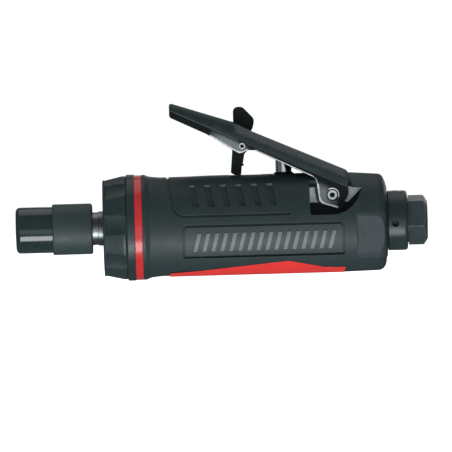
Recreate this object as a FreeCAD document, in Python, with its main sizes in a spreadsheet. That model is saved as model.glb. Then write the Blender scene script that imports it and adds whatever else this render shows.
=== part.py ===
import FreeCAD, Part
import Sketcher
import math
import os

# Air die grinder with a lock-off lever throttle, built as separate pieces in one shared frame.
# The origin is on the spindle axis at the mouth of the collet. +X runs along the spindle to the
# air inlet, +Z points up to the throttle lever, and all sizes are in millimetres.

DIMS = {
    # Collet nut, its sleeve and the collet
    "nut_radius": 9.25,
    "nut_length": 24.0,
    "nut_mouth": 5.0,
    "thread_bore": 7.45,
    "sleeve_radius": 10.2,
    "sleeve_start": 14.7,
    "sleeve_end": 30.8,
    "shank_radius": 3.175,
    "collet_length": 25.0,
    "collet_slot": 0.8,
    # Spindle and its bearings
    "thread_radius": 7.4,
    "neck_radius": 6.6,
    "collar_radius": 6.93,
    "front_journal": 5.97,
    "rotor_shaft": 5.0,
    "rear_journal": 3.97,
    "bearing_front": 38.0,
    "bearing_front_end": 46.0,
    "bearing_rear": 94.0,
    "bearing_rear_end": 101.0,
    # Vane motor
    "rotor_radius": 11.2,
    "rotor_front": 54.1,
    "rotor_rear": 87.9,
    "blade_thickness": 1.4,
    "cylinder_radius": 15.9,
    "cylinder_bore": 12.5,
    "cylinder_offset": 1.15,
    "cylinder_front": 54.0,
    "cylinder_rear": 88.0,
    # Front cap, rings and housing
    "cap_front": 35.1,
    "cap_rear": 44.5,
    "cap_radius": 20.9,
    "skirt_radius": 15.95,
    "ring_radius": 21.3,
    "red_front": 47.8,
    "grip_front": 50.9,
    "housing_radius": 17.8,
    "motor_bore": 16.0,
    "motor_bay_end": 102.0,
    "housing_rear": 146.5,
    "inlet_bore": 7.5,
    "inlet_bore_front": 118.0,
    # Grip sleeve
    "grip_inner": 17.85,
    "grip_radius": 20.1,
    "grip_rear": 149.0,
    "flat_offset": 10.9,
    # Throttle lever and its pins
    "hinge_x": 127.2,
    "hinge_z": 10.9,
    "hinge_radius": 1.6,
    "lock_x": 91.6,
    "lock_z": 31.4,
    "lock_radius": 1.3,
    "lever_half_width": 14.2,
    "lever_tip_half_width": 8.0,
    "lock_thickness": 3.5,
    # Throttle valve
    "valve_x": 108.0,
    "valve_bore": 5.0,
    "valve_floor": -12.0,
    "stem_radius": 3.2,
    "stem_shoulder": 28.6,
    # Air inlet and exhaust collar
    "collar_front": 149.2,
    "collar_rear": 157.2,
    "exhaust_radius": 12.0,
    "hex_front": 157.5,
    "hex_rear": 165.2,
    "hex_flats": 18.0,
    "inlet_thread": 5.7,
}

os.makedirs("parts", exist_ok=True)
doc = FreeCAD.newDocument("die_grinder")
sheet = doc.addObject("Spreadsheet::Sheet", "Sheet")
for row, (alias, size) in enumerate(DIMS.items(), start=1):
    sheet.set("A%d" % row, alias)
    sheet.set("B%d" % row, str(size))
    sheet.setAlias("B%d" % row, alias)
doc.recompute()

X_AXIS = FreeCAD.Vector(1, 0, 0)
Y_AXIS = FreeCAD.Vector(0, 1, 0)
ALONG = {
    "x": FreeCAD.Rotation(Y_AXIS, 90),
    "y": FreeCAD.Rotation(X_AXIS, -90),
    "z": FreeCAD.Rotation(),
}
nodes = []


def amount(text):
    """Add up a size written as names and plain numbers, such as "nut_radius + 0.1"."""
    total, sign = 0.0, 1.0
    for word in str(text).split():
        if word in ("+", "-"):
            sign = 1.0 if word == "+" else -1.0
        else:
            total += sign * (DIMS[word] if word in DIMS else float(word))
    return total


def formula(text):
    """The same size as a spreadsheet expression."""
    return " ".join("Sheet." + word if word in DIMS else word for word in str(text).split())


def difference(end, start):
    """End minus start, as one sum."""
    swap = {"+": "-", "-": "+"}
    return "%s - %s" % (end, " ".join(swap.get(word, word) for word in str(start).split()))


def bind(item, **sizes):
    for field, text in sizes.items():
        item.setExpression(field, formula(text))
    return item


def place(item, x=0, y=0, z=0, turn=None):
    """Put an object at a bound position, turned by a rotation."""
    item.Placement = FreeCAD.Placement(
        FreeCAD.Vector(amount(x), amount(y), amount(z)), turn or FreeCAD.Rotation())
    for letter, text in (("x", x), ("y", y), ("z", z)):
        item.setExpression("Placement.Base." + letter, formula(text))
    return item


def rod(name, radius, start, end, x=0, y=0, z=0, along="x"):
    """A solid cylinder from start to end on an axis that passes through x, y, z."""
    item = doc.addObject("Part::Cylinder", name)
    bind(item, Radius=radius, Height=difference(end, start))
    spot = {"x": x, "y": y, "z": z}
    spot[along] = start
    return place(item, turn=ALONG[along], **spot)


def cone(name, first, second, start, end, x=0, y=0, z=0, along="x"):
    """A solid cone from the first radius at start to the second at end."""
    item = doc.addObject("Part::Cone", name)
    bind(item, Radius1=first, Radius2=second, Height=difference(end, start))
    spot = {"x": x, "y": y, "z": z}
    spot[along] = start
    return place(item, turn=ALONG[along], **spot)


def block(name, x, y, z):
    """A box given by its (low, high) limits along each axis."""
    item = doc.addObject("Part::Box", name)
    bind(item, Length=difference(x[1], x[0]), Width=difference(y[1], y[0]),
         Height=difference(z[1], z[0]))
    return place(item, x=x[0], y=y[0], z=z[0])


def donut(name, ring, wire, x=0, y=0, z=0, along="x"):
    item = doc.addObject("Part::Torus", name)
    bind(item, Radius1=ring, Radius2=wire)
    return place(item, x=x, y=y, z=z, turn=ALONG[along])


def fuse(name, items):
    item = doc.addObject("Part::MultiFuse", name)
    item.Shapes = items
    return item


def cut(name, base, tools):
    item = doc.addObject("Part::Cut", name)
    item.Base = base
    item.Tool = tools[0] if len(tools) == 1 else fuse(name + "_tools", tools)
    return item


def common(name, first, second):
    item = doc.addObject("Part::Common", name)
    item.Base, item.Tool = first, second
    return item


def compound(name, items):
    item = doc.addObject("Part::Compound", name)
    item.Links = items
    return item


def tube(name, outer, inner, start, end, x=0, y=0, z=0, along="x"):
    return cut(name, rod(name + "_outer", outer, start, end, x, y, z, along),
               [rod(name + "_inner", inner, difference(start, "1"), end + " + 1"
                    if isinstance(end, str) else end + 1, x, y, z, along)])


def draw(sketch, outline):
    """Draw a closed outline of straight lines and tie every corner to its two sizes."""
    corners = [FreeCAD.Vector(amount(x), amount(y), 0) for x, y in outline]
    count = len(corners)
    for number in range(count):
        sketch.addGeometry(
            Part.LineSegment(corners[number], corners[(number + 1) % count]), False)
    for number in range(count):
        sketch.addConstraint(
            Sketcher.Constraint("Coincident", number, 2, (number + 1) % count, 1))
    for number, (x, y) in enumerate(outline):
        for kind, axis, size in (("DistanceX", -2, x), ("DistanceY", -1, y)):
            if amount(size) == 0:
                sketch.addConstraint(Sketcher.Constraint("PointOnObject", number, 1, axis))
                continue
            rule = sketch.addConstraint(
                Sketcher.Constraint(kind, -1, 1, number, 1, amount(size)))
            sketch.setExpression("Constraints[%d]" % rule, formula(size))


def sketched(name, role, outline):
    """A new body holding one sketch on one of its own origin planes."""
    body = doc.addObject("PartDesign::Body", name)
    sketch = body.newObject("Sketcher::SketchObject", name + "_outline")
    plane = next(item for item in body.Origin.OriginFeatures if item.Role == role)
    sketch.AttachmentSupport = [(plane, "")]
    sketch.MapMode = "FlatFace"
    draw(sketch, outline)
    return body, sketch


def turned(name, outline):
    """A body of revolution about X, from an outline of (x, radius) corners."""
    body, sketch = sketched(name, "XZ_Plane", outline)
    turn = body.newObject("PartDesign::Revolution", name + "_turn")
    turn.Profile = sketch
    turn.ReferenceAxis = (sketch, ["H_Axis"])
    turn.Angle = 360
    body.Tip = turn
    doc.recompute()
    return body


def prism(name, outline, width, role="XZ_Plane", both=True):
    """A pad of an outline: (x, z) corners along Y, (x, y) along Z or (y, z) along X."""
    body, sketch = sketched(name, role, outline)
    pad = body.newObject("PartDesign::Pad", name + "_pad")
    pad.Profile = sketch
    pad.setExpression("Length", formula(width))
    pad.SideType = "Symmetric" if both else "One side"
    body.Tip = pad
    doc.recompute()
    return body


def round_edges(body, chosen, radius):
    """Round every edge of the body that the test picks."""
    tip = body.Tip
    names = ["Edge%d" % number for number, edge in enumerate(tip.Shape.Edges, start=1)
             if chosen(edge)]
    if not names:
        raise ValueError("no edge to round on " + body.Name)
    fillet = body.newObject("PartDesign::Fillet", tip.Name + "_round")
    fillet.Base = (tip, names)
    fillet.setExpression("Radius", formula(radius))
    body.Tip = fillet
    doc.recompute()
    return body


def rim(x, radius):
    """Test for a full circle of the given radius about the spindle axis at x."""
    def test(edge):
        return (isinstance(edge.Curve, Part.Circle)
                and abs(edge.Curve.Radius - amount(radius)) < 0.01
                and abs(edge.Curve.Center.x - amount(x)) < 0.01)
    return test


def corner(x, z):
    """Test for an edge that runs across the body, along Y, through x and z."""
    def test(edge):
        box = edge.BoundBox
        return (box.YLength > 0.5 and box.XLength < 0.01 and box.ZLength < 0.01
                and abs(box.XMin - x) < 0.05 and abs(box.ZMin - z) < 0.05)
    return test


def rounded(body, corners):
    """Round the across-the-body edges at (x, z, radius) corners."""
    for x, z, radius in corners:
        round_edges(body, corner(x, z), radius)
    return body


def mirror(name, source):
    """The same piece on the other side of the middle plane."""
    item = doc.addObject("Part::Mirroring", name)
    item.Source = source
    item.Base = FreeCAD.Vector(0, 0, 0)
    item.Normal = Y_AXIS
    return item


def both_sides(name, source):
    return fuse(name, [source, mirror(name + "_far", source)])


def around(name, make, count, first=0.0):
    """Copies of one tool, spaced evenly about the spindle axis."""
    items = []
    for number in range(count):
        item = make("%s_%d" % (name, number + 1))
        item.Placement = FreeCAD.Placement(
            FreeCAD.Vector(), FreeCAD.Rotation(X_AXIS, first + 360.0 * number / count)
        ).multiply(item.Placement)
        for letter in "xyz":
            item.setExpression("Placement.Base." + letter, None)
        items.append(item)
    return items


def node(item, label):
    """Name a finished piece. Its label is also its file name."""
    item.Label = label
    nodes.append(item)
    return item


# ---------------------------------------------------------------- collet, nut and sleeve
nut = turned("nut_turned", [
    (0, "nut_mouth"), (0, "nut_radius"), ("nut_length", "nut_radius"),
    ("nut_length", "thread_bore"), (9.5, "thread_bore"), (9.5, 6.45), (7.2, 6.45),
    (2, "nut_mouth")])
round_edges(nut, rim(0, "nut_radius"), 1.8)
node(nut, "collet_nut")

guard = turned("guard_turned", [
    ("sleeve_start", "nut_radius + 0.05"), ("sleeve_start", "sleeve_radius"),
    ("sleeve_end", "sleeve_radius"), ("sleeve_end", 7.6), ("sleeve_end - 1.6", 7.6),
    ("sleeve_end - 1.6", 8.6), (25.5, 8.6), (25.5, 7.7), ("nut_length", 7.7),
    ("nut_length", "nut_radius + 0.05")])
round_edges(guard, rim("sleeve_start", "sleeve_radius"), 0.6)
round_edges(guard, rim("sleeve_end", "sleeve_radius"), 0.9)
node(guard, "nut_sleeve")

collet_blank = turned("collet_turned", [
    (0, "shank_radius"), (0, "nut_mouth - 0.1"), (2.1, "nut_mouth - 0.1"), (7.1, 6.3),
    (9.6, 6.3), (10.2, 6.1), ("collet_length", 4.75), ("collet_length", "shank_radius")])
collet_slots = [
    block("collet_slot_upright", (-1, 19), ("0 - collet_slot", 0), (-8, 8)),
    block("collet_slot_level", (-1, 19), (-8, 8), ("0 - collet_slot", 0))]
for slot, letter in zip(collet_slots, "yz"):
    slot.setExpression("Placement.Base." + letter, "0 - Sheet.collet_slot / 2")
node(cut("collet_cut", collet_blank, collet_slots), "collet")

# ---------------------------------------------------------------- spindle, rotor and blades
spindle = turned("spindle_turned", [
    (10.5, 6.2), (10.5, "thread_radius"), (24.5, "thread_radius"), (24.5, "neck_radius"),
    (33.2, "neck_radius"), (33.2, "collar_radius"), ("bearing_front", "collar_radius"),
    ("bearing_front", "front_journal"), ("bearing_front_end", "front_journal"),
    ("bearing_front_end", "rotor_shaft"), ("bearing_rear", "rotor_shaft"),
    ("bearing_rear", "rear_journal"), ("bearing_rear_end + 0.5", "rear_journal"),
    ("bearing_rear_end + 0.5", 0), (30, 0), (30, 3.4), (26, 3.4), (26, 4.8)])
node(spindle, "spindle")

node(tube("spacer_tube", 7.6, "rotor_shaft + 0.03", "bearing_front_end", "rotor_front"),
     "rotor_spacer")

BLADES = 5


def blade_slot(name):
    return block(name, ("rotor_front - 1", "rotor_rear + 1"), (-0.75, 0.75),
                 (6.5, "rotor_radius + 1"))


rotor_blank = tube("rotor_tube", "rotor_radius", "rotor_shaft + 0.03", "rotor_front",
                   "rotor_rear")
node(cut("rotor_cut", rotor_blank, around("rotor_slot", blade_slot, BLADES)), "rotor")


def blade(name):
    item = block(name, ("rotor_front + 0.2", "rotor_rear - 0.2"), (-0.7, 0.7),
                 (6.55, "rotor_radius - 0.05"))
    item.setExpression("Width", "Sheet.blade_thickness")
    return item


for number, item in enumerate(around("blade", blade, BLADES), start=1):
    node(item, "rotor_blade_%d" % number)


def bearing(label, start, end, bore, inner_lip, outer_lip, outside, ball, pitch, balls):
    """A ball bearing: two grooved rings, a cage and its balls."""
    middle = (amount(start) + amount(end)) / 2
    node(cut(label + "_inner_cut", tube(label + "_inner_tube", inner_lip, bore, start, end),
             [donut(label + "_inner_track", pitch, ball + 0.05, x=middle)]),
         label + "_inner")
    node(cut(label + "_outer_cut", tube(label + "_outer_tube", outside, outer_lip, start, end),
             [donut(label + "_outer_track", pitch, ball + 0.05, x=middle)]),
         label + "_outer")

    def sphere(name, radius):
        item = doc.addObject("Part::Sphere", name)
        item.Radius = radius
        return place(item, x=middle, z=pitch)

    node(compound(label + "_ball_set", around(
        label + "_ball", lambda name: sphere(name, ball), balls)), label + "_balls")
    cage = tube(label + "_cage_tube", pitch + 0.7, pitch - 0.7, middle - ball - 0.3,
                middle + ball + 0.3)
    node(cut(label + "_cage_cut", cage, around(
        label + "_cage_hole", lambda name: sphere(name, ball + 0.06), balls)),
        label + "_cage")


bearing("front_bearing", "bearing_front", "bearing_front_end", 6.0, 8.5, 11.5, 14.0,
        2.2, 10.0, 8)
bearing("rear_bearing", "bearing_rear", "bearing_rear_end", 4.0, 6.1, 8.9, 11.0,
        1.8, 7.5, 7)

# ---------------------------------------------------------------- front cap and rings
cap_blank = turned("cap_turned", [
    ("cap_front", 7.3), ("cap_front", 19.2), ("cap_rear - 1.4", "cap_radius"),
    ("cap_rear - 0.4", "cap_radius"), ("cap_rear", "cap_radius - 0.4"),
    ("cap_rear", "skirt_radius"), (50, "skirt_radius"), (50, 14.03),
    ("bearing_front", 14.03), ("bearing_front", 11.8), (37.3, 11.8), (37.3, 7.3)])
round_edges(cap_blank, rim("cap_front", 19.2), 0.8)


def scallop(name):
    """A gripping notch that fades out toward the rear of the cap."""
    item = doc.addObject("Part::Cylinder", name)
    item.Radius = 13.0
    item.Height = 14.0
    item.Placement = FreeCAD.Placement(
        FreeCAD.Vector(amount("cap_front") - 2.0, 0, 30.9), FreeCAD.Rotation(Y_AXIS, 76.5))
    return item


seal_groove = cut("cap_seal_groove", rod("cap_groove_outer", 17, 45.3, 46.7),
                  [rod("cap_groove_inner", 14.9, 45, 47)])
node(cut("cap_cut", cap_blank, around("cap_scallop", scallop, 8, first=-3.0)
         + [seal_groove]), "front_cap")
node(donut("cap_seal", 15.43, 0.5, x=46), "front_seal")

lock_ring = turned("lock_ring_turned", [
    ("cap_rear", "grip_inner"), ("cap_rear", "ring_radius - 0.4"),
    ("cap_rear + 0.4", "ring_radius"), ("red_front - 0.1", "ring_radius"),
    ("red_front", "ring_radius - 0.1"), ("red_front", "grip_inner")])
node(lock_ring, "lock_ring")
red_ring = turned("red_ring_turned", [
    ("red_front", "grip_inner"), ("red_front", "ring_radius - 0.3"),
    ("red_front + 0.1", "ring_radius - 0.2"), ("grip_front - 0.2", "ring_radius - 0.2"),
    ("grip_front", "ring_radius - 0.4"), ("grip_front", "grip_inner")])
node(red_ring, "red_ring")

# ---------------------------------------------------------------- vane motor
PIN_Z = 13.9
PIN_RADIUS = 1.0
pin_hole = rod("plate_pin_hole", PIN_RADIUS + 0.03, 51, 91, z=PIN_Z)
front_plate = turned("front_plate_turned", [
    ("bearing_front_end", 11.9), ("bearing_front_end", 13.9), (50, 13.9),
    (50, "cylinder_radius"), ("cylinder_front", "cylinder_radius"),
    ("cylinder_front", 8.6), (50, 8.6), (50, 11.9)])
node(cut("front_plate_cut", front_plate, [pin_hole]), "front_end_plate")

cylinder_blank = rod("cylinder_outer", "cylinder_radius", "cylinder_front", "cylinder_rear")
cylinder_tools = [
    rod("cylinder_inner", "cylinder_bore", "cylinder_front - 1", "cylinder_rear + 1",
        z="0 - cylinder_offset"),
    rod("cylinder_pin_hole", PIN_RADIUS + 0.03, 51, 91, z=PIN_Z)]
for number, port_x in enumerate((62, 68, 74, 80), start=1):
    cylinder_tools.append(rod("exhaust_port_%d" % number, 1.8, -17, 0, x=port_x, along="z"))
node(cut("cylinder_cut", cylinder_blank, cylinder_tools), "cylinder")
node(rod("cylinder_dowel", PIN_RADIUS, 51.2, 90.8, z=PIN_Z), "cylinder_pin")

rear_plate = turned("rear_plate_turned", [
    ("cylinder_rear", 5.4), ("cylinder_rear", "cylinder_radius"),
    ("bearing_rear", "cylinder_radius"), ("bearing_rear", 13.5),
    ("bearing_rear_end", 13.5), ("bearing_rear_end", 11.03), ("bearing_rear", 11.03),
    ("bearing_rear", 9.0), (93.4, 9.0), (93.4, 5.4)])
node(cut("rear_plate_cut", rear_plate, [
    rod("rear_plate_pin_hole", PIN_RADIUS + 0.03, 51, 91, z=PIN_Z),
    rod("rear_plate_air_port", 1.6, 86, 96, y=6, z=9.5),
    rod("rear_plate_air_port_far", 1.6, 86, 96, y=-6, z=9.5)]), "rear_end_plate")
node(tube("washer_tube", 10.9, 9.2, "bearing_rear_end", "motor_bay_end"), "wave_washer")

# ---------------------------------------------------------------- side pockets for the lever ears
POCKET_RIM = [
    (118.1, 30), (118.1, 3.0), (134.8, 3.0), (139.2, 13.6), (134.9, 13.6), (134.9, 30)]
LINER_RIM = [(118.1, 8.0), (118.1, 3.0), (134.8, 3.0), (139.2, 13.6), (133.4, 8.0)]
POCKET_ROUNDS = [(118.1, 3.0, 1.2), (134.8, 3.0, 11.5)]


def side_prism(name, outline, near, far, rounds=()):
    """A pad of a side outline on the near side only, between two distances from the middle."""
    item = rounded(prism(name, outline, difference(far, near), both=False), rounds)
    return place(item, y="0 - " + str(near))


pocket = both_sides("pocket_pair", side_prism(
    "pocket", POCKET_RIM, "flat_offset", 24, POCKET_ROUNDS))
liner_space = both_sides("liner_space_pair", side_prism(
    "liner_space", LINER_RIM, 9.4, 24, POCKET_ROUNDS))
liner = both_sides("liner_pair", side_prism("liner", LINER_RIM, 9.5, 18.2, POCKET_ROUNDS))

# ---------------------------------------------------------------- motor housing
housing_blank = turned("housing_turned", [
    ("cap_rear", "motor_bore"), ("cap_rear", "housing_radius"),
    ("housing_rear", "housing_radius"), ("housing_rear", "inlet_bore"),
    ("inlet_bore_front", "inlet_bore"), ("inlet_bore_front", 0),
    ("motor_bay_end", 0), ("motor_bay_end", "motor_bore")])


def exhaust_passage(name, side):
    return [rod(name + "_low", 1.6, 101, "housing_rear + 1", y=side * 8.0, z=-6.4),
            rod(name + "_high", 1.6, 101, "housing_rear + 1", y=side * 10.1, z=-1.6)]


housing_tools = [
    pocket, liner_space,
    rod("valve_well", "valve_bore", "valve_floor", 20, x="valve_x", along="z"),
    rod("feed_passage", 2.6, "valve_x", "inlet_bore_front + 1", z=-4.8),
    rod("motor_passage", 2.2, 101, "valve_x", z=3.2),
    rod("hinge_hole", "hinge_radius + 0.03", -19, 19, x="hinge_x", z="hinge_z", along="y"),
    block("exhaust_channel", (56, 101.5), (-6, 6), (-17.0, -15)),
] + exhaust_passage("exhaust_near", -1) + exhaust_passage("exhaust_far", 1)
node(cut("housing_cut", housing_blank, housing_tools), "motor_housing")

# ---------------------------------------------------------------- grip sleeve
grip_blank = turned("grip_turned", [
    ("grip_front", "grip_inner"), ("grip_front", 21.1), (51.9, 21.1), (53.8, 20.34),
    (56.2, 20.05), (58.6, 19.85), (68, 19.9), (78, "grip_radius"), (131, "grip_radius"),
    ("grip_rear - 5", 19.85), ("grip_rear - 1.1", 19.7), ("grip_rear - 0.3", 14.5),
    ("grip_rear", 14.0), ("grip_rear", 13.0), ("housing_rear", 13.0), ("housing_rear", "grip_inner")])
round_edges(grip_blank, rim("grip_rear - 1.1", 19.7), 3.4)
grip_lined = fuse("grip_lined", [grip_blank, liner])

PAD_EDGE = [
    (60.7, 21), (63.4, 3.3), (110.3, 3.3), (110.3, 4.3), (64.2, 4.3), (61.6, 21)]
pad_groove = side_prism("pad_groove", PAD_EDGE, 0, 24, [
    (63.4, 3.3, 5.5), (64.2, 4.3, 4.5), (110.3, 3.3, 0.45), (110.3, 4.3, 0.45)])
surface_layer = tube("surface_layer", 23, 19.35, 55, 140)
groove_cut = common("groove_cut", both_sides("pad_groove_pair", pad_groove), surface_layer)

SLOT_HALF = 1.25
SLOT_TOP = 15.4
SLOT_LOW = 7.3
SLOT_LEAN = 1.8
# The upper end of every finger slot is a short ramp that faces out and down
RAMP_TOP = 16.3
slots = []
ramps = []
for number in range(6):
    top_x = 70.9 + 6.22 * number
    low_x = top_x + SLOT_LEAN
    slots.append(side_prism("finger_slot_%d" % (number + 1), [
        (top_x - SLOT_HALF, SLOT_TOP), (low_x - SLOT_HALF, SLOT_LOW),
        (low_x + SLOT_HALF, SLOT_LOW), (top_x + SLOT_HALF, SLOT_TOP)], 0, 24))
    ramps.append(prism("slot_ramp_%d" % (number + 1), [
        (-11.77, RAMP_TOP), (-11.43, SLOT_TOP), (-11.3, SLOT_TOP - 0.3), (-24, SLOT_TOP - 0.3),
        (-24, RAMP_TOP)], 2 * SLOT_HALF, role="YZ_Plane"))
    place(ramps[-1], x=top_x)
slot_layer = tube("slot_layer", 23, 18.9, 60, 120)
slot_cut = common("slot_cut", both_sides("slot_pairs", fuse("slot_row", slots)), slot_layer)
ramp_cut = both_sides("ramp_pairs", fuse("ramp_row", ramps))

PLATE_TILT = 20.0
PLATE_RIM = [(66.9, 7.1), (66.9, -7.1), (131.7, -7.1), (131.7, 7.1)]
PLATE_GAP = 1.05


def shrink(outline, step, middle_x=100.0):
    """Move every corner of an outline toward its middle by one step each way."""
    return [(x + (step if x < middle_x else -step), z + (step if z < 0 else -step))
            for x, z in outline]


def tilted(name, outline, near=0, tilt=PLATE_TILT):
    """A pad from one distance out on the near side, turned down about the spindle axis."""
    turn = FreeCAD.Rotation(X_AXIS, tilt)
    item = prism(name, outline, 24 - near, both=False)
    item.Placement = FreeCAD.Placement(turn.multVec(FreeCAD.Vector(0, -near, 0)), turn)
    return item


def plate_pad(name, step):
    """The name plate's outline, smaller by one step, with rounded corners."""
    outline = shrink(PLATE_RIM, step)
    item = tilted(name, outline)
    return rounded(item, [(x, z, 1.0) for x, z in outline])


plate_recess = common("plate_recess", plate_pad("plate_recess_pad", 0),
                      tube("plate_recess_layer", 23, 19.0, 60, 140))
plate_recess_pair = both_sides("plate_recess_pair", plate_recess)

WEDGE_RIM = [
    (61.3, -24), (61.3, -18.9), (74.0, -18.1), (108.0, -15.1), (109.3, -15.1),
    (123.3, -17.85), (131.9, -18.15), (129.5, -24)]
WEDGE_GAP = 0.03
WEDGE_CUT = [(x + (WEDGE_GAP if x > 100 else -WEDGE_GAP), z + WEDGE_GAP) for x, z in WEDGE_RIM]
wedge_recess = common("wedge_recess", prism("wedge_recess_pad", WEDGE_CUT, 48),
                      tube("wedge_recess_layer", 23, 18.5, 55, 140))

# The rear panel is a flat on each side, with a sloping step at its front end
PANEL_RIM = [(136.6, 12), (136.6, -12), (152, -12), (152, 12)]
TOP_FLAT = [(131, 20.1), (147.0, 18.84), (149.3, 13.5), (152, 13.5), (152, 26), (131, 26)]
grip = cut("grip_cut", grip_lined, [
    pocket, groove_cut, slot_cut, ramp_cut, plate_recess_pair, wedge_recess,
    rounded(prism("top_flat", TOP_FLAT, 48), [(147.0, 18.84, 2.5)]),
    rod("bushing_hole", 4.7, 0, 24, x="valve_x", along="z"),
    block("lock_groove", (86.2, 99.4), (-2.3, 2.3), (18.2, 24)),
    both_sides("panel_flats", tilted("panel_flat", PANEL_RIM, near=18.4, tilt=16.0))])
node(grip, "grip_sleeve")

node(common("wedge_common", prism("wedge_pad", WEDGE_RIM, 48),
            tube("wedge_layer", 20.2, 18.53, 55, 140)), "grip_insert")

# Name plates: a thin curved plate with a row of plain slanted ribs
plate_field = common("plate_field", plate_pad("plate_field_pad", PLATE_GAP),
                     tube("plate_field_layer", 19.85, 19.03, 60, 140))
RIBS = 16
RIB_PITCH = 3.6
RIB_WIDTH = 1.6
RIB_HALF_HEIGHT = 3.8
RIB_SLANT = 1.9
ribs = []
for number in range(RIBS):
    left = 70.9 + RIB_PITCH * number
    ribs.append(tilted("plate_rib_%d" % (number + 1), [
        (left, -RIB_HALF_HEIGHT), (left + RIB_WIDTH, -RIB_HALF_HEIGHT),
        (left + RIB_WIDTH + RIB_SLANT, RIB_HALF_HEIGHT), (left + RIB_SLANT, RIB_HALF_HEIGHT)]))
rib_layer = common("rib_layer", fuse("rib_row", ribs),
                   tube("plate_rib_layer", 20.3, 19.03, 60, 140))
plate_near = node(fuse("plate_near", [plate_field, rib_layer]), "nameplate_left")
node(mirror("plate_far", plate_near), "nameplate_right")

# ---------------------------------------------------------------- throttle lever
LEVER_SIDE = [
    (62.7, 43.8), (77.5, 36.7), (90.6, 28.35), (93.9, 29.85), (96.6, 29.75), (120.9, 17.75),
    (122.0, 7.8), (130.4, 5.2), (133.6, 10.8), (133.6, 60), (62.7, 60)]
LEVER_ROUNDS = [
    (62.7, 43.8, 1.2), (90.6, 28.35, 2.4), (93.9, 29.85, 1.2), (96.6, 29.75, 2.0),
    (120.9, 17.75, 3.0), (122.0, 7.8, 2.4), (130.4, 5.2, 2.0), (133.6, 10.8, 2.0)]
BELOW_CREASE = [(60, 47.8), (139, 11.1), (139, 0), (60, 0)]
HOLLOW_SIDE = [(64.4, 60), (64.4, 2), (141, 2), (141, 60)]
WHOLE_SIDE = [(60, 60), (60, 0), (141, 0), (141, 60)]


def arch(name, x, half_width, top, shoulder):
    """An arched section across the lever at x, with two rounded shoulders."""
    sketch = doc.addObject("Sketcher::SketchObject", name)
    sketch.Placement = FreeCAD.Placement(
        FreeCAD.Vector(x, 0, 0), FreeCAD.Rotation(FreeCAD.Vector(1, 1, 1), 120))
    side, height = amount(half_width), amount(top)
    inner, spring = side - shoulder, height - shoulder
    spots = [(-side, 1), (side, 1), (side, spring), (inner, height), (-inner, height),
             (-side, spring)]
    points = [FreeCAD.Vector(y, z, 0) for y, z in spots]

    def bow(middle, start, end):
        circle = Part.Circle(FreeCAD.Vector(middle, spring, 0), FreeCAD.Vector(0, 0, 1), shoulder)
        return Part.ArcOfCircle(circle, start, end)

    sketch.addGeometry([
        Part.LineSegment(points[0], points[1]), Part.LineSegment(points[1], points[2]),
        bow(inner, 0, math.pi / 2), Part.LineSegment(points[3], points[4]),
        bow(-inner, math.pi / 2, math.pi), Part.LineSegment(points[5], points[0])], False)
    for number in range(6):
        sketch.addConstraint(
            Sketcher.Constraint("Coincident", number, 2, (number + 1) % 6, 1))
    inner_text, spring_text = half_width + " - %g" % shoulder, top + " - %g" % shoulder
    sizes = [(0, 1, difference("0", half_width), "1"), (1, 1, half_width, "1"),
             (2, 1, half_width, spring_text), (3, 1, inner_text, top),
             (4, 1, difference("0", inner_text), top),
             (5, 1, difference("0", half_width), spring_text)]
    for number, end, y, z in sizes:
        for kind, size in (("DistanceX", y), ("DistanceY", z)):
            rule = sketch.addConstraint(
                Sketcher.Constraint(kind, -1, 1, number, end, amount(size)))
            sketch.setExpression("Constraints[%d]" % rule, formula(size))
    for number, size in ((2, inner_text), (4, difference("0", inner_text))):
        rule = sketch.addConstraint(
            Sketcher.Constraint("DistanceX", -1, 1, number, 3, amount(size)))
        sketch.setExpression("Constraints[%d]" % rule, formula(size))
    return sketch


def channel(name, outline, inset, shoulder, tops, rounds=()):
    """A tapered arched blank through (x, top) sections, trimmed to a side outline."""
    front, rear = tops[0][0], tops[-1][0]
    growth = (DIMS["lever_half_width"] - DIMS["lever_tip_half_width"]) / (rear - front)
    loft = doc.addObject("Part::Loft", name + "_loft")
    loft.Sections = [
        arch("%s_arch_%d" % (name, number), x,
             "lever_tip_half_width + %g" % (growth * (x - front) - inset), "%g" % top, shoulder)
        for number, (x, top) in enumerate(tops, start=1)]
    loft.Solid = True
    loft.Ruled = True
    return common(name, loft, rounded(prism(name + "_side", outline, 40), rounds))


def end_round(name, radius, middle_x, middle_z, x):
    """A cutter that rounds an upper end corner of the lever, between two places along it."""
    return cut(name, block(name + "_block", x, (-20, 20), (middle_z, 60)),
               [rod(name + "_rod", radius, -20, 20, x=middle_x, z=middle_z, along="y")])


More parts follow.
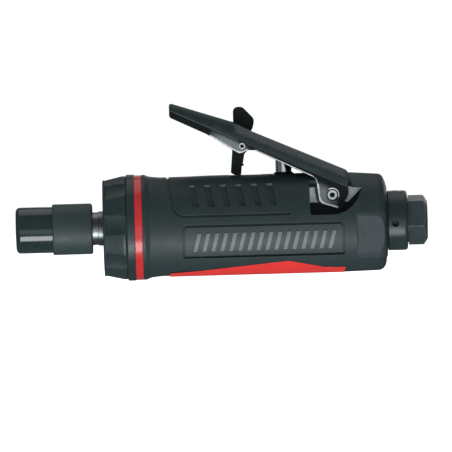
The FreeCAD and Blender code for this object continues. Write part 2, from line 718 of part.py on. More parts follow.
# The flanges are set in a little below the crease, under the rounded shoulders
LEVER_TOPS = [(62, 49.85), (88, 41.3), (95.5, 37.4), (140, 17.81)]
HOLLOW_TOPS = [(62, 48.25), (87.6, 39.85), (95.0, 36.0), (140, 16.24)]
flange_step = cut("flange_step", prism("below_crease", BELOW_CREASE, 40), [
    channel("lever_flange", WHOLE_SIDE, 0.45, 4.2, LEVER_TOPS)])
HINGE_SINK = 12.1
lever_side = channel("lever_outer", LEVER_SIDE, 0, 4.6, LEVER_TOPS, LEVER_ROUNDS)
node(cut("lever_cut", lever_side, [
    flange_step,
    channel("lever_hollow", HOLLOW_SIDE, 1.4, 3.2, HOLLOW_TOPS),
    block("lever_rear_opening", (131.2, 141), (-7.6, 7.6), (2, 30)),
    end_round("lever_front_corner", 1.0, 63.7, 48.24, (60, 64.0)),
    end_round("lever_rear_corner", 2.0, 131.6, 19.32, (132.4, 138)),
    block("lever_slot", (79.6, 96.2), (-2.25, 2.25), (34.5, 60)),
    rod("lever_hinge_hole", "hinge_radius + 0.06", -20, 20, x="hinge_x", z="hinge_z",
        along="y"),
    both_sides("lever_hinge_sinks", cone("lever_hinge_sink", 4.0, "hinge_radius + 0.06",
                                         -13.4, "0 - %g" % HINGE_SINK, x="hinge_x",
                                         z="hinge_z", along="y")),
    rod("lever_lock_hole", "lock_radius + 0.03", -20, 20, x="lock_x", z="lock_z",
        along="y")]), "throttle_lever")

# The hollow hinge pin is flared at both ends, inside the sinks of the lever's ears
hinge_shank = rod("hinge_shank", "hinge_radius", -12.4, 12.4, x="hinge_x", z="hinge_z", along="y")
hinge_flares = both_sides("hinge_flares", cone(
    "hinge_flare", 1.95, "hinge_radius", -12.95, -12.35, x="hinge_x", z="hinge_z", along="y"))
hinge_hollows = both_sides("hinge_hollows", rod(
    "hinge_hollow", 1.05, -15, -11, x="hinge_x", z="hinge_z", along="y"))
node(cut("hinge_cut", fuse("hinge_solid", [hinge_shank, hinge_flares]), [hinge_hollows]),
     "lever_pin")

# ---------------------------------------------------------------- lock-off lever on the throttle lever
LOCK_RIM = [
    (88.3, 47.3), (88.3, 40.1), (87.5, 28.4), (86.8, 20.8), (88.4, 20.0), (91.0, 20.0),
    (91.3, 23.4), (92.3, 23.8), (91.8, 24.6), (92.5, 28.4), (94.3, 30.2), (94.8, 32.6),
    (94.3, 35.0), (96.2, 39.0), (96.9, 42.2), (92.1, 47.3)]
lock_body = rounded(prism("lock_side", LOCK_RIM, "lock_thickness"), [
    (88.3, 47.3, 2.0), (92.1, 47.3, 2.4), (96.9, 42.2, 2.8), (94.3, 35.0, 1.2),
    (86.8, 20.8, 0.9), (88.4, 20.0, 0.8), (91.0, 20.0, 0.4)])
node(cut("lock_cut", lock_body, [
    rod("lock_hole", "lock_radius + 0.06", -5, 5, x="lock_x", z="lock_z", along="y")]),
    "lock_lever")

lock_bar = rod("lock_pin_solid", "lock_radius", -11.0, 11.0, x="lock_x", z="lock_z", along="y")
node(cut("lock_pin_cut", lock_bar, [both_sides("lock_pin_hollows", rod(
    "lock_pin_hollow", 0.75, -12, -8.5, x="lock_x", z="lock_z", along="y"))]), "lock_pin")


def coil(name, radius, wire, pitch, turns, x, y, z, along):
    """A round-wire spring that stands on x, y, z, with its axis along one direction."""
    body = doc.addObject("PartDesign::Body", name)
    sketch = body.newObject("Sketcher::SketchObject", name + "_wire")
    plane = next(item for item in body.Origin.OriginFeatures if item.Role == "XZ_Plane")
    sketch.AttachmentSupport = [(plane, "")]
    sketch.MapMode = "FlatFace"
    sketch.addGeometry(Part.Circle(FreeCAD.Vector(radius, 0, 0), FreeCAD.Vector(0, 0, 1), wire),
                       False)
    sketch.addConstraint([
        Sketcher.Constraint("Radius", 0, wire), Sketcher.Constraint("PointOnObject", 0, 3, -1),
        Sketcher.Constraint("DistanceX", -1, 1, 0, 3, radius)])
    helix = body.newObject("PartDesign::AdditiveHelix", name + "_helix")
    helix.Profile = sketch
    helix.ReferenceAxis = (sketch, ["V_Axis"])
    helix.Mode = "pitch-turns-angle"
    helix.Pitch, helix.Turns = pitch, turns
    body.Tip = helix
    return place(body, x=x, y=y, z=z, turn=ALONG[along])


lock_coil = coil("lock_coil", 2.0, 0.35, 0.85, 3.5, "lock_x", 2.5, "lock_z", "y")
node(fuse("lock_spring_parts", [
    lock_coil,
    rod("lock_spring_leg", 0.35, "lock_z", "lock_z + 4.6", x="lock_x + 2.0", y=2.5,
        along="z")]), "lock_spring")

# ---------------------------------------------------------------- throttle valve
stem = fuse("stem_parts", [
    rod("stem_bar", "stem_radius", 6.2, "stem_shoulder", x="valve_x", along="z"),
    rod("stem_tail", 1.5, -1, 7, x="valve_x", along="z"),
    common("stem_dome",
           rod("stem_dome_bar", "stem_radius", 26, 32, x="valve_x", along="z"),
           place(bind(doc.addObject("Part::Sphere", "stem_ball"), Radius=5), x="valve_x",
                 z="stem_shoulder - 3.84"))])
node(stem, "valve_stem")

bushing_parts = [
    rod("bushing_low", "valve_bore - 0.05", 9.2, 16.9, x="valve_x", along="z"),
    rod("bushing_top", 4.3, 16.5, 19.9, x="valve_x", along="z"),
    cone("bushing_lip", 4.3, 3.5, 19.9, 20.7, x="valve_x", along="z")]
node(cut("bushing_cut", fuse("bushing_solid", bushing_parts), [
    rod("bushing_bore", "stem_radius + 0.05", 5, 22, x="valve_x", along="z"),
    rod("bushing_groove", 4.25, 12.1, 13.9, x="valve_x", along="z")]), "valve_bushing")
node(donut("stem_o_ring", 3.76, 0.48, x="valve_x", z=13, along="z"), "stem_seal")
node(tube("seat_tube", "valve_bore - 0.05", 2.6, -1.2, 1.0, x="valve_x", along="z"),
     "valve_seat")
node(tube("poppet_tube", 3.9, 1.47, -3.9, -1.25, x="valve_x", along="z"), "valve_poppet")
node(coil("valve_coil", 3.2, 0.4, 1.55, 4.5, "valve_x", 0, "valve_floor + 0.5", "z"),
     "valve_spring")

# ---------------------------------------------------------------- air inlet and exhaust collar
inlet_blank = turned("inlet_turned", [
    (124, 4.0), (124, "inlet_bore - 0.05"), ("housing_rear", "inlet_bore - 0.05"),
    ("housing_rear", 9.0), ("hex_front", 9.0), ("hex_front", 4.0)])
hexagon = doc.addObject("Part::Prism", "hexagon")
hexagon.Polygon = 6
hexagon.setExpression("Circumradius", "Sheet.hex_flats / sqrt(3)")
hexagon.setExpression("Height", "Sheet.hex_rear - Sheet.hex_front")
place(hexagon, x="hex_front", turn=FreeCAD.Rotation(X_AXIS, 14).multiply(
    FreeCAD.Rotation(X_AXIS, 90)).multiply(ALONG["x"]))
hex_ends = turned("hex_ends", [
    ("hex_front", 0), ("hex_front", 10.5), ("hex_rear - 1.9", 10.5), ("hex_rear", 7.6),
    ("hex_rear", 0)])
inlet_solid = fuse("inlet_solid", [inlet_blank, common("hex_chamfered", hexagon, hex_ends)])
node(cut("inlet_cut", inlet_solid, [
    rod("inlet_thread_bore", "inlet_thread", 152, "hex_rear + 1"),
    cone("inlet_mouth", "inlet_thread", 7.0, "hex_rear - 1.2", "hex_rear + 0.05"),
    rod("screen_pocket", 4.9, 150.6, 152.5),
    rod("inlet_throat", 4.0, 123, 151),
    cut("inlet_seal_groove", rod("inlet_groove_outer", 8.4, 143.4, 144.6),
        [rod("inlet_groove_inner", 6.55, 143, 145)]),
    cut("collar_seal_groove", rod("collar_groove_outer", 9.5, 155.4, 156.6),
        [rod("collar_groove_inner", 7.9, 155, 157)])]), "inlet_bushing")
node(donut("inlet_o_ring", 7.02, 0.44, x=144), "inlet_seal")
node(donut("collar_o_ring", 8.44, 0.5, x=156), "deflector_seal")

screen_holes = []
for ring_radius, count in ((0, 1), (1.5, 6), (3.0, 12)):
    screen_holes += around("screen_hole_%d" % count, lambda name: rod(
        name, 0.5, 150, 152.4, z=ring_radius), count)
node(cut("screen_cut", rod("screen_disc", 4.85, 150.7, 151.5), screen_holes),
     "inlet_screen")

collar = turned("collar_turned", [
    ("collar_front", 11.0), ("collar_front", "exhaust_radius"),
    ("collar_rear", "exhaust_radius"), ("collar_rear", 9.05), (154.8, 9.05), (154.8, 11.0)])
round_edges(collar, rim("collar_rear", "exhaust_radius"), 1.3)
round_edges(collar, rim("collar_front", "exhaust_radius"), 0.4)
node(cut("collar_cut", collar, around("outlet", lambda name: rod(
    name, 1.4, 8, 14, x=152.2, along="z"), 4, first=96)), "exhaust_deflector")
node(tube("silencer_tube", 12.95, 9.05, "housing_rear", "grip_rear"), "silencer")

# ---------------------------------------------------------------- check and write
doc.recompute()
for item in doc.Objects:
    if "Invalid" in item.State or "Error" in item.State:
        raise RuntimeError("%s did not build: %s" % (item.Name, item.State))
for item in nodes:
    shape = item.Shape
    if shape.isNull() or not shape.isValid() or not shape.Solids:
        raise RuntimeError(item.Label + " has no valid solid")
    shape.exportStep("parts/%s.step" % item.Label)
print("wrote %d pieces" % len(nodes))
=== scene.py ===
import bpy
import math
from mathutils import Matrix, Vector


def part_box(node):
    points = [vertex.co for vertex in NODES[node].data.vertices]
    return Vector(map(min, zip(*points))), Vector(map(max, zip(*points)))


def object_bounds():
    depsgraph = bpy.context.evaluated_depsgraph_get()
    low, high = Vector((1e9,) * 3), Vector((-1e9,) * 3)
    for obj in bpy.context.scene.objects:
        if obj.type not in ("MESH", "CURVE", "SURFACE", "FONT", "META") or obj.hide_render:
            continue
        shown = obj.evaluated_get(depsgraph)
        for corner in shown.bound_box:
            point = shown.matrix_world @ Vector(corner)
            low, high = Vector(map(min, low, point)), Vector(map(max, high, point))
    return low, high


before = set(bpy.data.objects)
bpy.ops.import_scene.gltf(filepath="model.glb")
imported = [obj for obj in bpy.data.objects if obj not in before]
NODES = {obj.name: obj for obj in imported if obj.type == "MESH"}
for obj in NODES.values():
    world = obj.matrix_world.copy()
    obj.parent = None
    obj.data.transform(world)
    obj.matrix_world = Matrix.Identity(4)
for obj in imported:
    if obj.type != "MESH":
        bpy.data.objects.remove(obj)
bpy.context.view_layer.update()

# The scene is in metres, in the shared frame: +X along the spindle to the air inlet, +Z up to
# the throttle lever. The camera looks along +Y.

MM = 0.001


# ---------------------------------------------------------------- material building blocks
def new_material(name):
    material = bpy.data.materials.new(name)
    material.use_nodes = True
    tree = material.node_tree
    tree.nodes.clear()
    output = tree.nodes.new("ShaderNodeOutputMaterial")
    shader = tree.nodes.new("ShaderNodeBsdfPrincipled")
    tree.links.new(shader.outputs["BSDF"], output.inputs["Surface"])
    return material, tree, shader


def feed(tree, socket, value):
    """Give a socket another node's output, or a constant."""
    if isinstance(value, bpy.types.NodeSocket):
        tree.links.new(value, socket)
    else:
        socket.default_value = value


def object_coordinates(tree, stretch=(1, 1, 1)):
    mapping = tree.nodes.new("ShaderNodeMapping")
    mapping.inputs["Scale"].default_value = stretch
    tree.links.new(position(tree), mapping.inputs["Vector"])
    return mapping.outputs["Vector"]


def noise(tree, vector, grain, detail=3.0, roughness=0.5):
    """Noise whose features are about grain metres across."""
    node = tree.nodes.new("ShaderNodeTexNoise")
    node.inputs["Scale"].default_value = 1.0 / grain
    node.inputs["Detail"].default_value = detail
    node.inputs["Roughness"].default_value = roughness
    tree.links.new(vector, node.inputs["Vector"])
    return node.outputs["Fac"]


def spread(tree, factor, low, high, start=0.3, stop=0.7):
    """Map a factor from start..stop to low..high."""
    node = tree.nodes.new("ShaderNodeMapRange")
    node.inputs["From Min"].default_value = start
    node.inputs["From Max"].default_value = stop
    node.inputs["To Min"].default_value = low
    node.inputs["To Max"].default_value = high
    tree.links.new(factor, node.inputs["Value"])
    return node.outputs["Result"]


def opaque(colour):
    return (*colour, 1.0)


def blend(tree, factor, first, second, kind="FLOAT"):
    """Mix two numbers, colours or sockets by a factor socket."""
    node = tree.nodes.new("ShaderNodeMix")
    node.data_type = kind
    tree.links.new(factor, node.inputs["Factor"])
    feed(tree, node.inputs["A"], first)
    feed(tree, node.inputs["B"], second)
    return node.outputs["Result"]


def blend_colours(tree, factor, first, second):
    first, second = (value if isinstance(value, bpy.types.NodeSocket) else opaque(value)
                     for value in (first, second))
    return blend(tree, factor, first, second, "RGBA")


def arithmetic(tree, operation, first, second):
    """A math node whose result is kept in 0..1."""
    node = tree.nodes.new("ShaderNodeMath")
    node.operation = operation
    node.use_clamp = True
    feed(tree, node.inputs[0], first)
    feed(tree, node.inputs[1], second)
    return node.outputs["Value"]


def product(tree, first, second):
    return arithmetic(tree, "MULTIPLY", first, second)


def inverse(tree, factor):
    return arithmetic(tree, "SUBTRACT", 1.0, factor)


def either(tree, *factors):
    """The highest of several factors."""
    result = factors[0]
    for factor in factors[1:]:
        result = arithmetic(tree, "MAXIMUM", result, factor)
    return result


def vector_math(tree, operation, first, second):
    node = tree.nodes.new("ShaderNodeVectorMath")
    node.operation = operation
    feed(tree, node.inputs[0], first)
    feed(tree, node.inputs[1], second)
    return node


def position(tree):
    """The point's place in the shared frame."""
    return tree.nodes.new("ShaderNodeTexCoord").outputs["Object"]


def soft_edges(tree, radius):
    """A normal that rounds every edge by a moulding radius."""
    node = tree.nodes.new("ShaderNodeBevel")
    node.samples = 8
    node.inputs["Radius"].default_value = radius
    return node.outputs["Normal"]


def bump(tree, height, depth, normal=None):
    node = tree.nodes.new("ShaderNodeBump")
    node.inputs["Distance"].default_value = depth
    node.inputs["Strength"].default_value = 1.0
    tree.links.new(height, node.inputs["Height"])
    if normal is not None:
        tree.links.new(normal, node.inputs["Normal"])
    return node.outputs["Normal"]


def edge_wear(tree, vector, width, amount):
    """A factor that is high along outer edges, broken up by noise."""
    rounded = tree.nodes.new("ShaderNodeBevel")
    rounded.samples = 6
    rounded.inputs["Radius"].default_value = width
    geometry = tree.nodes.new("ShaderNodeNewGeometry")
    match = vector_math(tree, "DOT_PRODUCT", rounded.outputs["Normal"],
                        geometry.outputs["Normal"])
    edge = spread(tree, match.outputs["Value"], 1.0, 0.0, 0.80, 0.985)
    broken = spread(tree, noise(tree, vector, 1.6 * MM, 4), 0.25, 1.0, 0.38, 0.58)
    return product(tree, product(tree, edge, broken), amount)


def box_mask(tree, low, high, soft=0.25 * MM):
    """1 inside a box of the shared frame, 0 outside. None leaves a side open."""
    parts = tree.nodes.new("ShaderNodeSeparateXYZ")
    tree.links.new(position(tree), parts.inputs["Vector"])
    result = None
    for axis, name in enumerate("XYZ"):
        for side, inward in ((low[axis], 1), (high[axis], -1)):
            if side is None:
                continue
            step = spread(tree, parts.outputs[name], 0.0, 1.0,
                          side - inward * soft, side + inward * soft)
            result = step if result is None else product(tree, result, step)
    return result


def line_mask(tree, x, z, slope, soft=0.15 * MM):
    """1 below a line in the side view that passes through x, z with a slope, 0 above it."""
    height = vector_math(tree, "DOT_PRODUCT", position(tree), (-slope, 0, 1))
    level = z - slope * x
    return spread(tree, height.outputs["Value"], 1.0, 0.0, level - soft, level + soft)


def radius_mask(tree, radius, soft=0.12 * MM):
    """1 farther than radius from the spindle axis, 0 nearer."""
    flat = vector_math(tree, "MULTIPLY", position(tree), (0, 1, 1))
    length = tree.nodes.new("ShaderNodeVectorMath")
    length.operation = "LENGTH"
    tree.links.new(flat.outputs["Vector"], length.inputs[0])
    return spread(tree, length.outputs["Value"], 0.0, 1.0, radius - soft, radius + soft)


def path_mask(tree, path, width, soft=0.15 * MM):
    """1 within a width of a line of (x, z) points in the side view, 0 away from it."""
    side_view = vector_math(tree, "MULTIPLY", position(tree), (1, 0, 1))
    result = None
    for (x, z), (next_x, next_z) in zip(path, path[1:]):
        run = Vector((next_x - x, 0, next_z - z))
        offset = vector_math(tree, "SUBTRACT", side_view.outputs["Vector"], (x, 0, z))
        share = vector_math(tree, "DOT_PRODUCT", offset.outputs["Vector"],
                            run / run.length_squared)
        nearest = tree.nodes.new("ShaderNodeVectorMath")
        nearest.operation = "SCALE"
        nearest.inputs[0].default_value = run
        kept_share = arithmetic(tree, "ADD", share.outputs["Value"], 0.0)
        tree.links.new(kept_share, nearest.inputs["Scale"])
        gap = vector_math(tree, "DISTANCE", offset.outputs["Vector"], nearest.outputs["Vector"])
        near = spread(tree, gap.outputs["Value"], 1.0, 0.0, width - soft, width + soft)
        result = near if result is None else either(tree, result, near)
    return result


def shade(name, colour, rough, metal=0.0, tint=0.12, grain=0.5 * MM, depth=0.01 * MM,
          stretch=(1, 1, 1), patches=6 * MM, wear=None, coat=0.0, regions=(),
          edge=0.25 * MM, shine=0.5):
    """A finished surface: patchy colour, uneven gloss, a fine grain and, where asked, worn edges.

    wear is (width, amount, colour, roughness, metal). regions are parts of the surface with
    another finish or with painted light or shade: (mask maker, colour, roughness, metal, grain,
    depth) each."""
    material, tree, shader = new_material(name)
    vector = object_coordinates(tree, stretch)
    plain = object_coordinates(tree)
    cloud = noise(tree, plain, patches, 4, 0.6)
    darker = tuple(value * (1 - tint) for value in colour)
    lighter = tuple(min(1.0, value * (1 + tint)) for value in colour)
    base = blend_colours(tree, spread(tree, cloud, 0.0, 1.0), darker, lighter)
    speck = noise(tree, vector, grain, 2)
    base = blend_colours(tree, spread(tree, speck, 0.0, 0.35, 0.45, 0.75), base, lighter)
    gloss = spread(tree, cloud, rough * 0.88, min(1.0, rough * 1.14))
    metallic = metal
    normal = bump(tree, speck, depth, soft_edges(tree, edge))
    for make_mask, tone, tone_rough, tone_metal, tone_grain, tone_depth in regions:
        mask = make_mask(tree)
        tone_speck = noise(tree, plain, tone_grain, 3, 0.65)
        tone_base = blend_colours(tree, spread(tree, tone_speck, 0.0, 1.0, 0.35, 0.65),
                                  tuple(value * 0.72 for value in tone),
                                  tuple(min(1.0, value * 1.2) for value in tone))
        base = blend_colours(tree, mask, base, tone_base)
        gloss = blend(tree, mask, gloss, tone_rough)
        metallic = blend(tree, mask, metallic, tone_metal)
        normal = bump(tree, product(tree, mask, tone_speck), tone_depth, normal)
    if wear:
        width, amount, worn, worn_rough, worn_metal = wear
        factor = edge_wear(tree, plain, width, amount)
        base = blend_colours(tree, factor, base, worn)
        gloss = blend(tree, factor, gloss, worn_rough)
        metallic = blend(tree, factor, metallic, worn_metal)
    tree.links.new(base, shader.inputs["Base Color"])
    tree.links.new(gloss, shader.inputs["Roughness"])
    tree.links.new(normal, shader.inputs["Normal"])
    feed(tree, shader.inputs["Metallic"], metallic)
    shader.inputs["Specular IOR Level"].default_value = shine
    shader.inputs["Coat Weight"].default_value = coat
    shader.inputs["Coat Roughness"].default_value = 0.08
    return material


def wear_to(colour, width=0.35 * MM, amount=0.6, rough=0.35, metal=0.0):
    return (width, amount, colour, rough, metal)


# ---------------------------------------------------------------- the tool's finishes
def pin_spot(name):
    """The middle of a pin in the side view, as (x, z)."""
    pin_low, pin_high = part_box(name)
    pin_middle = (pin_low + pin_high) / 2
    return pin_middle.x, pin_middle.z


HINGE = pin_spot("lever_pin")
LOCK = pin_spot("lock_pin")
# The lever's crease and its top edge behind the tab, as (x, z) and slope in the side view
CREASE = (0.0600, 0.0478, -0.4646)
TOP_EDGE = (0.0955, 0.0374, -0.4402)
# Distances from the spindle axis that tell recesses and ribs from the faces round them
POCKET_RADIUS = 0.0191
SLOT_RADIUS = 0.0194
RAMP_RADIUS = 0.0198
RIB_RADIUS = 0.0201


def below_line(tree, line, drop, soft):
    """1 below a line moved down by a drop, 0 above it."""
    x, z, slope = line
    return line_mask(tree, x, z - drop, slope, soft)


def recess(tree, radius, low, high, soft=0.25 * MM):
    """1 inside a box and nearer to the spindle axis than radius."""
    return product(tree, inverse(tree, radius_mask(tree, radius)),
                   box_mask(tree, low, high, soft))


def rear_panel(tree):
    """The lighter flat behind the name plate, on both sides of the grip."""
    return box_mask(tree, (0.1366, None, -0.0147), (0.1486, None, 0.0034))


def pocket_floor_shade(tree):
    """The floors of the side pockets, under the lever's ears, painted near black as shade."""
    return recess(tree, POCKET_RADIUS, (0.1165, None, 0.0020), (0.1400, None, None))


def raised_ribs(tree):
    """The slanted ribs on the name plates."""
    return radius_mask(tree, RIB_RADIUS)


def slot_end_highlights(tree):
    """The small ramps at the upper ends of the finger slots, painted pale as a highlight."""
    return recess(tree, RAMP_RADIUS, (0.0680, None, 0.0149), (0.1040, None, 0.0165), 0.15 * MM)


def slot_floor_light(tree):
    """The floors of the finger slots, painted a little paler than the grip round them to lift the
    shade in the slots.
    """
    return recess(tree, SLOT_RADIUS, (0.0680, None, 0.0035), (0.1120, None, 0.0148), 0.15 * MM)


def top_sheen(tree):
    """The lever's upper shoulder behind the tab, painted paler as a highlight."""
    return product(tree, inverse(tree, below_line(tree, TOP_EDGE, 3.1 * MM, 0.9 * MM)),
                   box_mask(tree, (0.0890, None, None), (0.1330, None, None), 1.0 * MM))


def flange_shade(tree):
    """The flanges below the crease, painted darker as shade."""
    return line_mask(tree, *CREASE)


def bare_ears_and_highlight(tree):
    """The lower front of the lever's ears, rubbed down to bare metal and painted lighter as a
    highlight.
    """
    return product(tree, below_line(tree, CREASE, 4.2 * MM, 1.8 * MM),
                   box_mask(tree, (0.1180, None, None), (0.1272, None, None), 2.6 * MM))


def bare_flange(tree):
    """The lower part of the flange by the lock pin, polished by use."""
    return product(tree, below_line(tree, CREASE, 1.1 * MM, 0.9 * MM),
                   box_mask(tree, (0.0810, None, None), (0.0925, None, None), 2.4 * MM))


def crease_highlight(tree):
    """A painted highlight along the crease, from the lever's tip to the tab."""
    x, z, slope = CREASE
    ends = [(place, z + slope * (place - x)) for place in (0.0627, 0.0895)]
    return path_mask(tree, ends, 0.10 * MM)


def rim_wear_and_highlight(tree):
    """The lower edge of the lever's flanges and ears and the rim of the hinge sink, bare from
    handling and painted near white as a highlight.
    """
    flange = path_mask(tree, [(0.0970, 0.0295), (0.1193, 0.0186), (0.1208, 0.0170),
                              (0.1213, 0.0150)], 0.28 * MM)
    ear = path_mask(tree, [(0.1213, 0.0150), (0.1217, 0.0101), (0.1225, 0.0084),
                           (0.1243, 0.0071), (0.1288, 0.0057)], 0.62 * MM)
    boss = path_mask(tree, [(0.0790, 0.0358), (0.0892, 0.0293), (0.0906, 0.0288),
                            (0.0922, 0.0290), (0.0936, 0.0297)], 0.42 * MM)
    sink_radius = 2.6 * MM
    sink = path_mask(tree, [
        (HINGE[0] + sink_radius * math.cos(angle), HINGE[1] + sink_radius * math.sin(angle))
        for angle in (math.radians(step) for step in range(-20, 121, 20))], 0.16 * MM, 0.12 * MM)
    return either(tree, sink, flange, ear, boss)


def spot_mask(tree, spot, radius):
    """1 within a radius of an (x, z) spot in the side view."""
    x, z = spot
    return path_mask(tree, [(x, z), (x, z + 0.01 * MM)], radius, 0.1 * MM)


def hinge_sink_shade(tree):
    """The sink round the hinge pin, painted darker as shade."""
    return spot_mask(tree, HINGE, 2.4 * MM)


def ear_shadow(tree):
    """A painted shadow on the housing's flats beside the ears."""
    return path_mask(tree, [(0.1206, 0.0160), (0.1209, 0.0125), (0.1215, 0.0095),
                            (0.1232, 0.0068)], 0.75 * MM, 0.35 * MM)


def pin_hollow_shade(tree):
    """Painted shade in the hollows of the lever's two hollow pins."""
    return either(tree, spot_mask(tree, HINGE, 1.0 * MM), spot_mask(tree, LOCK, 0.68 * MM))


MOULDED = (0.018, 0.036, 0.038)
finishes = {
    "nut_black": shade("nut_black", (0.016, 0.030, 0.031), 0.14, tint=0.15, depth=0.002 * MM,
                       coat=0.3, wear=wear_to((0.06, 0.07, 0.075), amount=0.4, rough=0.25)),
    "sleeve_grey": shade("sleeve_grey", (0.030, 0.052, 0.053), 0.5, grain=0.35 * MM,
                         depth=0.012 * MM, wear=wear_to((0.08, 0.095, 0.10), amount=0.4)),
    "steel": shade("steel", (0.26, 0.29, 0.30), 0.34, metal=1.0, tint=0.1,
                   stretch=(1, 6, 6), grain=0.3 * MM, depth=0.004 * MM),
    "pin_steel": shade("pin_steel", (0.66, 0.70, 0.71), 0.3, metal=0.5, tint=0.1,
                       depth=0.004 * MM,
                       # The pin hollows are painted shade.
                       regions=[(pin_hollow_shade, (0.006, 0.010, 0.010), 0.6, 0.0, 0.5 * MM,
                                 0.01 * MM)]),
    "stem_steel": shade("stem_steel", (0.74, 0.80, 0.81), 0.12, metal=1.0, tint=0.08,
                        depth=0.001 * MM),
    "cap_grey": shade("cap_grey", MOULDED, 0.42, tint=0.2, grain=0.45 * MM, depth=0.018 * MM,
                      wear=wear_to((0.10, 0.12, 0.125), amount=0.55)),
    "ring_grey": shade("ring_grey", (0.018, 0.034, 0.036), 0.4, depth=0.01 * MM,
                       wear=wear_to((0.08, 0.095, 0.10), amount=0.4)),
    "red_ring": shade("red_ring", (0.60, 0.024, 0.028), 0.28, tint=0.06, depth=0.003 * MM,
                      coat=0.25),
    "red_insert": shade("red_insert", (0.80, 0.030, 0.026), 0.42, tint=0.06,
                        grain=0.4 * MM, depth=0.008 * MM),
    "grip": shade("grip", MOULDED, 0.52, tint=0.12, grain=0.32 * MM, depth=0.016 * MM,
                  patches=9 * MM, wear=wear_to((0.075, 0.09, 0.094), amount=0.5, rough=0.45),
                  regions=[(rear_panel, (0.032, 0.048, 0.058), 0.6, 0.0, 0.5 * MM, 0.05 * MM),
                           # The pocket floors are painted shade.
                           (pocket_floor_shade, (0.003, 0.007, 0.007), 0.8, 0.0, 0.4 * MM, 0.02 * MM),
                           # The slot floors are painted lighter to offset their shade.
                           (slot_floor_light, (0.024, 0.044, 0.046), 0.5, 0.0, 0.4 * MM, 0.02 * MM),
                           # The slot ends are painted highlights.
                           (slot_end_highlights, (0.110, 0.130, 0.130), 0.5, 0.0, 0.4 * MM, 0.02 * MM)]),
    "plate": shade("plate", (0.028, 0.040, 0.048), 0.48, tint=0.18, grain=0.42 * MM,
                   depth=0.035 * MM, wear=wear_to((0.22, 0.25, 0.27), 0.3 * MM, 0.9, 0.4),
                   regions=[(raised_ribs, (0.13, 0.155, 0.17), 0.42, 0.0, 0.4 * MM, 0.03 * MM)]),
    "alloy": shade("alloy", (0.52, 0.59, 0.61), 0.55, metal=0.4, tint=0.3,
                   grain=0.5 * MM, depth=0.08 * MM,
                   # The dark band beside the ears is a painted shadow.
                   regions=[(ear_shadow, (0.020, 0.026, 0.028), 0.5, 0.0, 0.5 * MM, 0.02 * MM)]),
    "lever": shade("lever", (0.034, 0.050, 0.051), 0.32, metal=0.35, tint=0.25,
                   grain=0.4 * MM, depth=0.008 * MM, patches=5 * MM, edge=0.3 * MM, shine=0.15,
                   wear=wear_to((0.20, 0.22, 0.23), 0.32 * MM, 0.35, 0.3, 0.2),
                   # The upper shoulder is a painted highlight.
                   regions=[(top_sheen, (0.092, 0.102, 0.110), 0.42, 0.1, 0.7 * MM, 0.02 * MM),
                            # The flanges below the crease are painted shade.
                            (flange_shade, (0.007, 0.011, 0.012), 0.6, 0.0, 0.4 * MM, 0.01 * MM),
                            (bare_flange, (0.27, 0.30, 0.32), 0.35, 0.4, 0.45 * MM, 0.06 * MM),
                            # The ears are bare metal with a painted highlight.
                            (bare_ears_and_highlight, (0.23, 0.26, 0.27), 0.42, 0.4, 0.5 * MM, 0.07 * MM),
                            # The crease line is a painted highlight.
                            (crease_highlight, (0.12, 0.14, 0.15), 0.4, 0.2, 0.8 * MM, 0.01 * MM),
                            # The hinge sink is painted shade.
                            (hinge_sink_shade, (0.025, 0.030, 0.032), 0.4, 0.0, 0.5 * MM, 0.02 * MM),
                            # The rims are worn edges painted near white as a highlight.
                            (rim_wear_and_highlight, (0.84, 0.89, 0.91), 0.3, 0.1, 0.8 * MM, 0.01 * MM)]),
    "tab_black": shade("tab_black", (0.005, 0.011, 0.012), 0.6, tint=0.2, depth=0.01 * MM,
                       shine=0.25, wear=wear_to((0.02, 0.03, 0.03), amount=0.4)),
    "brass": shade("brass", (0.55, 0.40, 0.17), 0.35, metal=1.0, depth=0.006 * MM),
    "black_rubber": shade("black_rubber", (0.012, 0.012, 0.012), 0.6, depth=0.01 * MM),
    "collar_grey": shade("collar_grey", (0.018, 0.034, 0.035), 0.34, tint=0.2, grain=0.4 * MM,
                         depth=0.014 * MM, wear=wear_to((0.09, 0.11, 0.11), amount=0.5)),
    "inlet_grey": shade("inlet_grey", (0.043, 0.061, 0.068), 0.36, metal=0.25, tint=0.12,
                        depth=0.008 * MM,
                        wear=wear_to((0.5, 0.53, 0.55), 0.35 * MM, 0.8, 0.3, 0.3)),
    "cast_iron": shade("cast_iron", (0.14, 0.14, 0.145), 0.5, metal=0.8, depth=0.03 * MM),
    "fibre": shade("fibre", (0.16, 0.08, 0.035), 0.55, grain=0.3 * MM, stretch=(1, 8, 8)),
    "felt": shade("felt", (0.22, 0.22, 0.21), 0.9, tint=0.3, grain=0.25 * MM, depth=0.1 * MM),
}

FINISH_OF = {
    "collet_nut": "nut_black", "nut_sleeve": "sleeve_grey", "front_cap": "cap_grey",
    "lock_ring": "ring_grey", "red_ring": "red_ring", "grip_insert": "red_insert",
    "grip_sleeve": "grip", "nameplate_left": "plate", "nameplate_right": "plate",
    "motor_housing": "alloy", "front_end_plate": "alloy", "rear_end_plate": "alloy",
    "cylinder": "cast_iron", "throttle_lever": "lever", "lever_pin": "pin_steel",
    "lock_pin": "pin_steel", "lock_lever": "tab_black", "valve_stem": "stem_steel",
    "valve_bushing": "tab_black", "valve_seat": "brass", "valve_poppet": "black_rubber",
    "stem_seal": "black_rubber", "front_seal": "black_rubber", "inlet_seal": "black_rubber",
    "deflector_seal": "black_rubber", "front_bearing_cage": "brass",
    "rear_bearing_cage": "brass", "exhaust_deflector": "collar_grey",
    "inlet_bushing": "inlet_grey", "silencer": "felt",
}
FINISH_OF.update({name: "fibre" for name in NODES if name.startswith("rotor_blade")})

for name, node in NODES.items():
    finish = finishes[FINISH_OF.get(name, "steel")]
    if node.material_slots:
        for material_slot in node.material_slots:
            material_slot.material = finish
    else:
        node.data.materials.append(finish)


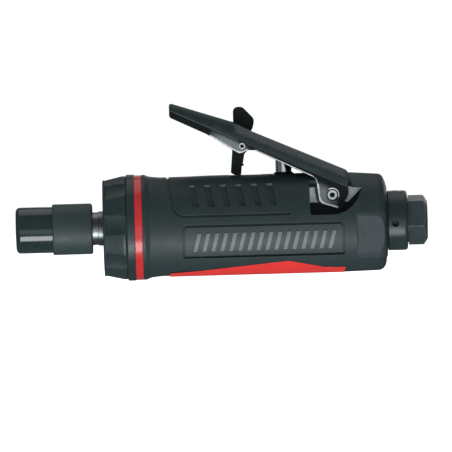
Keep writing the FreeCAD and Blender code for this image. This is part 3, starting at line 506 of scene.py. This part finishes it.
# ---------------------------------------------------------------- floor, light and camera
low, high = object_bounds()
tool_length = high[0] - low[0]
middle = Vector(((low[0] + high[0]) / 2, 0, 0))
FLOOR_GAP = 0.2 * MM
FLOOR_HALF_WIDTH = 60.0


def plane(name, half_width, level):
    """A level square centred on the origin."""
    mesh = bpy.data.meshes.new(name)
    corners = [(x * half_width, y * half_width, level) for x, y in
               ((-1, -1), (1, -1), (1, 1), (-1, 1))]
    mesh.from_pydata(corners, [], [(0, 1, 2, 3)])
    item = bpy.data.objects.new(name, mesh)
    bpy.context.scene.collection.objects.link(item)
    return item


floor = plane("floor", FLOOR_HALF_WIDTH, low[2] - FLOOR_GAP)
floor_material, floor_tree, floor_shader = new_material("pale_floor")
floor_shader.inputs["Base Color"].default_value = opaque((0.9, 0.9, 0.9))
floor_shader.inputs["Roughness"].default_value = 0.9
floor_shader.inputs["Emission Color"].default_value = opaque((1, 1, 1))
floor_shader.inputs["Emission Strength"].default_value = 1.0
floor.data.materials.append(floor_material)
floor.visible_shadow = False
floor.visible_glossy = False
floor.visible_diffuse = False


def soft_light(name, spot, target, width, height, power):
    """A rectangular studio light, aimed at a target, with its power in watts."""
    data = bpy.data.lights.new(name, "AREA")
    data.shape = "RECTANGLE"
    data.size, data.size_y, data.energy = width, height, power
    lamp = bpy.data.objects.new(name, data)
    lamp.location = spot
    lamp.rotation_euler = (Vector(target) - Vector(spot)).to_track_quat("-Z", "Y").to_euler()
    bpy.context.scene.collection.objects.link(lamp)


def from_side(distance, elevation):
    """A point in front of the tool, at an elevation in degrees seen from the spindle axis."""
    angle = math.radians(elevation)
    return (middle.x, -distance * math.cos(angle), distance * math.sin(angle))


soft_light("low_strip", from_side(0.60, -43), middle, 0.34, 0.25, 1.9)
soft_light("front_fill", from_side(1.0, -9), middle, 0.9, 0.4, 0.8)
soft_light("top_soft", (middle.x, 0.25, 0.9), middle, 0.8, 0.8, 1.3)
soft_light("back_soft", (middle.x + 0.3, 0.9, 0.25), middle, 0.8, 0.5, 1.6)

bpy.context.scene.view_settings.view_transform = "Standard"
world = bpy.data.worlds.new("studio")
bpy.context.scene.world = world
world.use_nodes = True
sky = world.node_tree
sky.nodes.clear()
sky_output = sky.nodes.new("ShaderNodeOutputWorld")


def glow(colour, strength):
    node = sky.nodes.new("ShaderNodeBackground")
    node.inputs["Color"].default_value = opaque(colour)
    node.inputs["Strength"].default_value = strength
    return node.outputs["Background"]


def choose(factor, first, second):
    """The first shader where a factor is 0, the second where it is 1."""
    node = sky.nodes.new("ShaderNodeMixShader")
    for socket, source in zip(node.inputs, (factor, first, second)):
        sky.links.new(source, socket)
    return node.outputs["Shader"]


# Plain white behind the tool, soft daylight on it, and a darker room in its reflections
rays = sky.nodes.new("ShaderNodeLightPath")
lighting = choose(rays.outputs["Is Glossy Ray"], glow((0.93, 0.98, 1), 0.52),
                  glow((0.93, 0.97, 1), 0.12))
sky.links.new(choose(rays.outputs["Is Camera Ray"], lighting, glow((1, 1, 1), 1.05)),
              sky_output.inputs["Surface"])

# A long lens square to the tool's side. The picture is 1.10 tool lengths wide, and the tool
# lies turned 1.6 degrees in it, with its inlet end higher.
CAMERA_DISTANCE = 4.0
FRAME_WIDTH = tool_length * 1.0985
ROLL = math.radians(1.6)
camera_data = bpy.data.cameras.new("camera")
camera_data.sensor_width = 36.0
camera_data.lens = camera_data.sensor_width * CAMERA_DISTANCE / FRAME_WIDTH
camera_data.clip_end = 200.0
camera = bpy.data.objects.new("camera", camera_data)
aim = Vector((middle.x + 1.7 * MM, 0, -0.4 * MM))
camera.matrix_world = (Matrix.Translation(aim) @ Matrix.Rotation(ROLL, 4, "Y")
                       @ Matrix.Translation((0, -CAMERA_DISTANCE, 0))
                       @ Matrix.Rotation(math.radians(90), 4, "X"))
bpy.context.scene.collection.objects.link(camera)
bpy.context.scene.camera = camera
